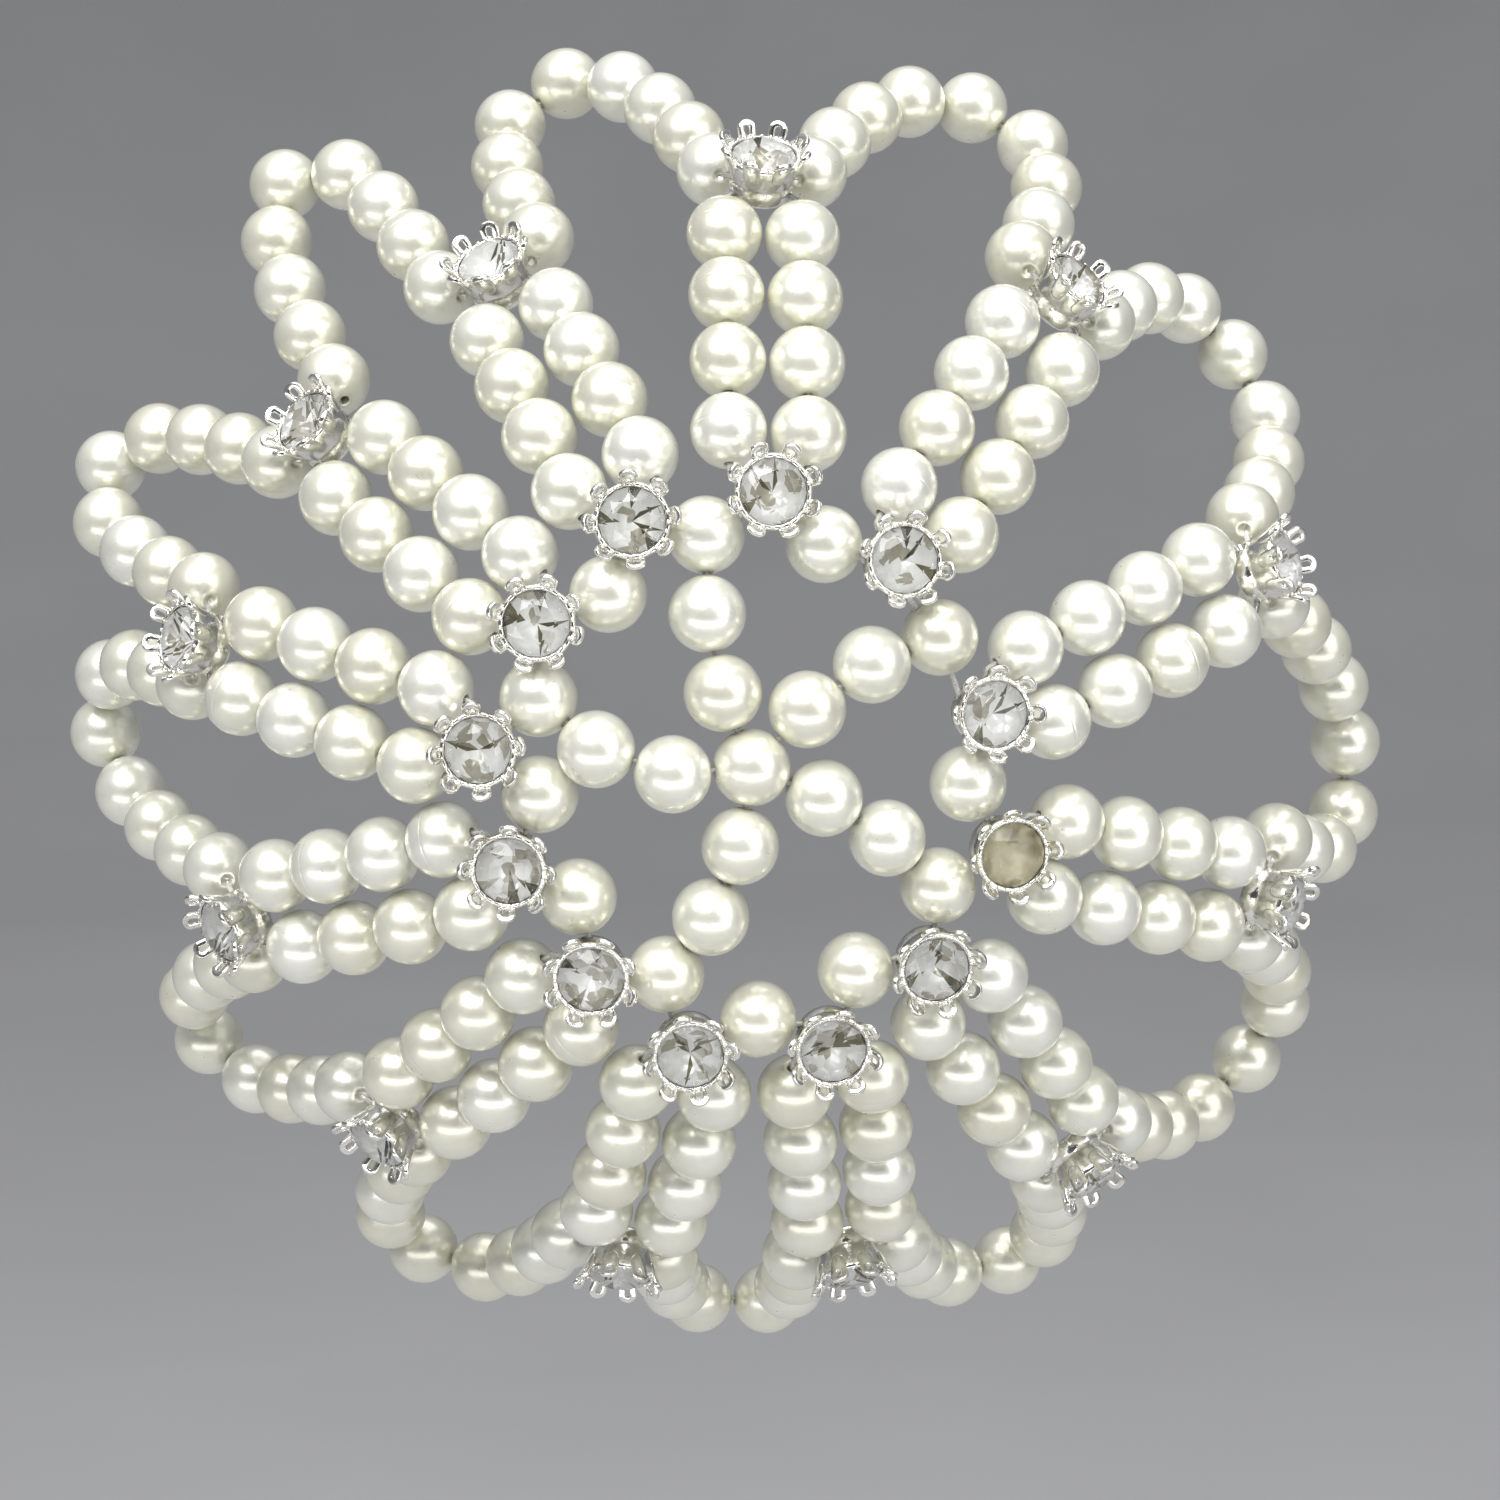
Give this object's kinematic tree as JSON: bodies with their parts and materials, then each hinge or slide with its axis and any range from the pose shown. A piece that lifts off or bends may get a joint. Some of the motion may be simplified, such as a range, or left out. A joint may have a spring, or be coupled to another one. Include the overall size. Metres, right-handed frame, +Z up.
{
  "type": "hair snood",
  "caption": "Pearl bun cover: a domed net of ivory pearl strings and clear cut stones in silver claw cups, open at the back, worn over a hair bun.",
  "frame": {"origin": "on the dome's axis, at the middle of its open base where the edge meets the head", "axes": "-Y along the dome's axis away from the head, +X to the right and +Z up as seen from behind the wearer"},
  "size_m": [0.1112, 0.0534, 0.1108],
  "materials": {
    "pearl": "ivory pearl lustre",
    "setting": "polished silver plate",
    "stone": "clear, foiled back",
    "clouded_stone": "clouded foil",
    "thread": "clear beading thread"
  },
  "bodies": {
    "root": {"ring_pearls": "pearl", "web_pearls": "pearl", "inner_settings": "setting", "outer_settings": "setting", "ring_thread": "thread", "web_threads": "thread", "spoke_threads": "thread", "edge_thread": "thread", "stone_inner_01": "stone", "stone_inner_02": "stone", "stone_inner_03": "stone", "stone_inner_04": "clouded_stone", "stone_inner_05": "stone", "stone_inner_06": "stone", "stone_inner_07": "stone", "stone_inner_08": "stone", "stone_inner_09": "stone", "stone_inner_10": "stone", "stone_inner_11": "stone", "stone_inner_12": "stone", "stone_outer_01": "stone", "stone_outer_02": "stone", "stone_outer_03": "stone", "stone_outer_04": "stone", "stone_outer_05": "stone", "stone_outer_06": "stone", "stone_outer_07": "stone", "stone_outer_08": "stone", "stone_outer_09": "stone", "stone_outer_10": "stone", "stone_outer_11": "stone", "stone_outer_12": "stone", "spoke_pearls_01": "pearl", "spoke_pearls_02": "pearl", "spoke_pearls_03": "pearl", "spoke_pearls_04": "pearl", "spoke_pearls_05": "pearl", "spoke_pearls_06": "pearl", "spoke_pearls_07": "pearl", "spoke_pearls_08": "pearl", "spoke_pearls_09": "pearl", "spoke_pearls_10": "pearl", "spoke_pearls_11": "pearl", "spoke_pearls_12": "pearl", "edge_pearls_01": "pearl", "edge_pearls_02": "pearl", "edge_pearls_03": "pearl", "edge_pearls_04": "pearl", "edge_pearls_05": "pearl", "edge_pearls_06": "pearl", "edge_pearls_07": "pearl", "edge_pearls_08": "pearl", "edge_pearls_09": "pearl", "edge_pearls_10": "pearl", "edge_pearls_11": "pearl", "edge_pearls_12": "pearl"}
  },
  "joints": []
}
